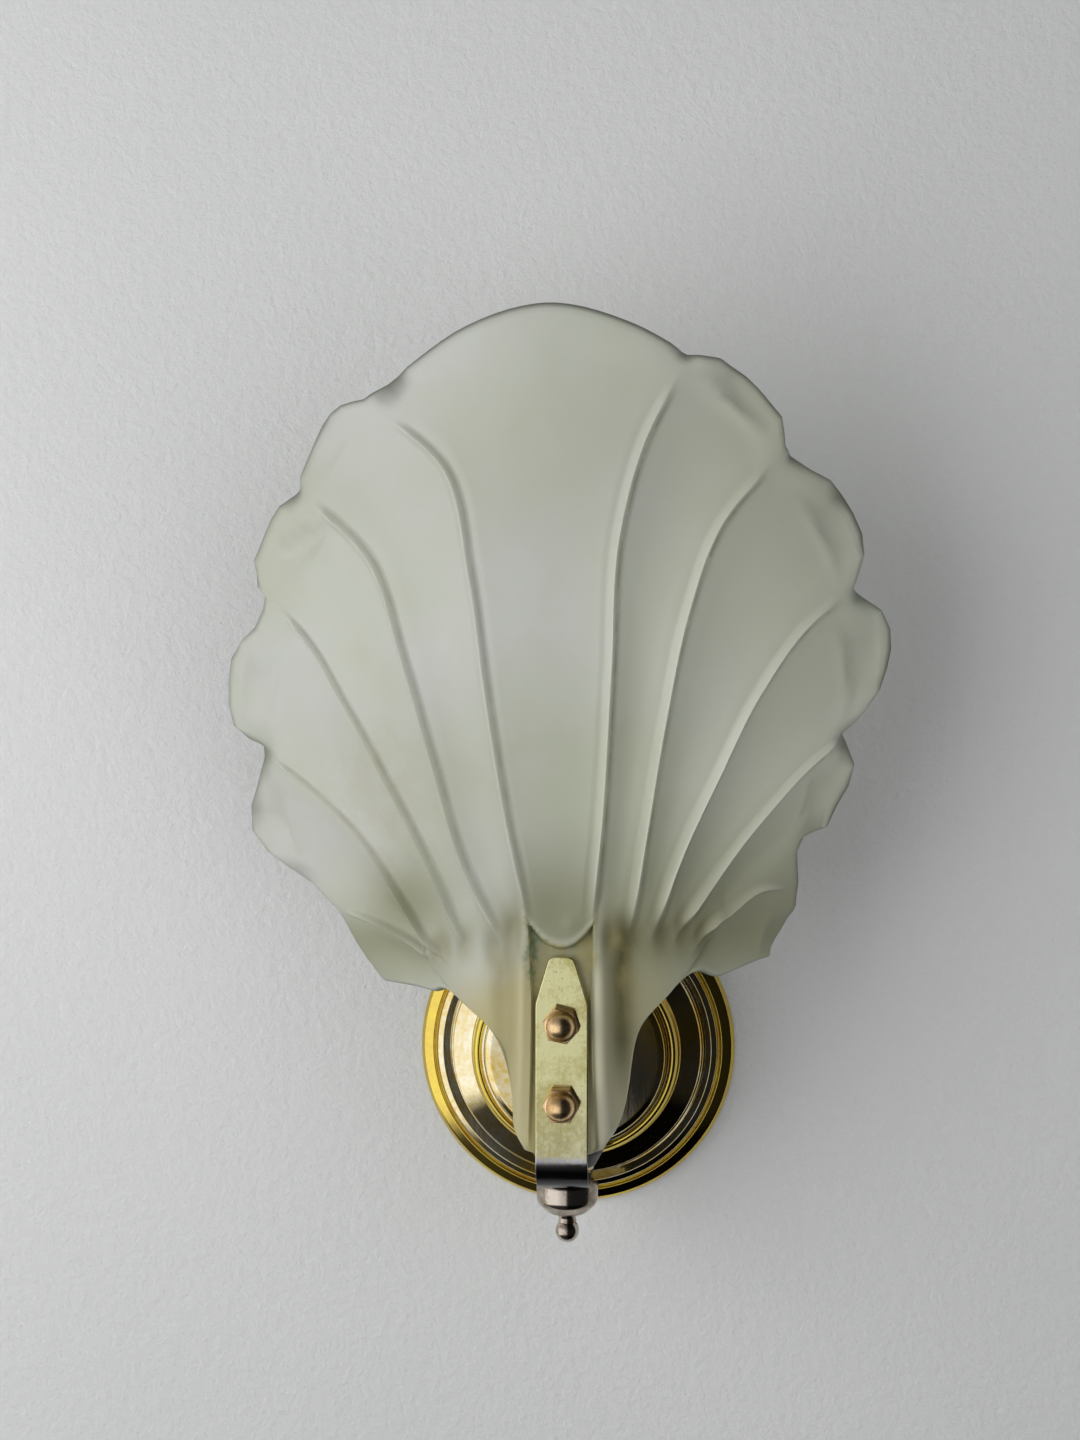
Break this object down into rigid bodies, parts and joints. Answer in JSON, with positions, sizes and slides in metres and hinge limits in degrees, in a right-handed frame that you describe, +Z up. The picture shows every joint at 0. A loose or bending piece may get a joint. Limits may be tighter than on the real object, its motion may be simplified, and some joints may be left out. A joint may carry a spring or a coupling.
{
  "type": "wall sconce",
  "caption": "Wall light with a fluted, scalloped pressed-glass shell shade clamped to a bent metal strip over a spun round wall plate, with an upright lampholder and a turned finial.",
  "frame": {"origin": "centre of the wall plate, on the wall plane, midway between the two wall slots", "axes": "+Z up the wall; +Y into the wall, so the front faces -Y; +X to the viewer's right"},
  "size_m": [0.208, 0.1174, 0.2904],
  "materials": {
    "frosted_glass": "frosted pressed glass with a faint green cast",
    "gilt_strip": "polished pale gold plate, worn",
    "gilt_plate": "polished gold plate with tarnish",
    "cap_nut_brass": "polished, slightly coppery",
    "finial_metal": "warm nickel",
    "brass_small": "turned brass",
    "zinc_steel": "zinc plated",
    "black_plastic": "moulded",
    "white_plastic": "moulded",
    "ceramic_core": "glazed ceramic",
    "rubber_pad": "matt",
    "felt": "thin felt",
    "lamp_opal": "clear lamp glass",
    "lamp_clear": "clear",
    "lamp_cap_metal": "drawn"
  },
  "bodies": {
    "sconce": {"glass_shade": "frosted_glass", "bracket_strip": "gilt_strip", "wall_plate": "gilt_plate", "mounting_strap": "zinc_steel", "plate_tube": "zinc_steel", "strap_lock_nut": "zinc_steel", "shakeproof_washer": "zinc_steel", "plate_nut": "brass_small", "tube_end_bush": "black_plastic", "terminal_block": "white_plastic", "terminal_screws": "brass_small", "earth_screw": "brass_small", "front_felt": "felt", "rear_pad": "rubber_pad", "clamp_plate": "brass_small", "clamp_screws": "brass_small", "hole_bushes": "rubber_pad", "cap_nut_upper": "cap_nut_brass", "cap_nut_lower": "cap_nut_brass", "finial": "finial_metal", "holder_tube": "zinc_steel", "holder_washer": "brass_small", "holder_cup": "black_plastic", "holder_core": "ceramic_core", "holder_shell": "black_plastic", "thread_sleeve": "brass_small", "centre_tongue": "brass_small", "holder_screws": "brass_small"},
    "lamp": {"lamp_glass": "lamp_opal", "lamp_cap": "lamp_cap_metal", "lamp_insulator": "black_plastic", "lamp_contact": "lamp_cap_metal", "lamp_mount": "lamp_clear", "lamp_filament": "lamp_cap_metal"}
  },
  "joints": [
    {"name": "lamp_lift", "type": "slide", "parent": "sconce", "child": "lamp", "axis": [0, 0, 1], "range_m": [0, 0.026]}
  ]
}
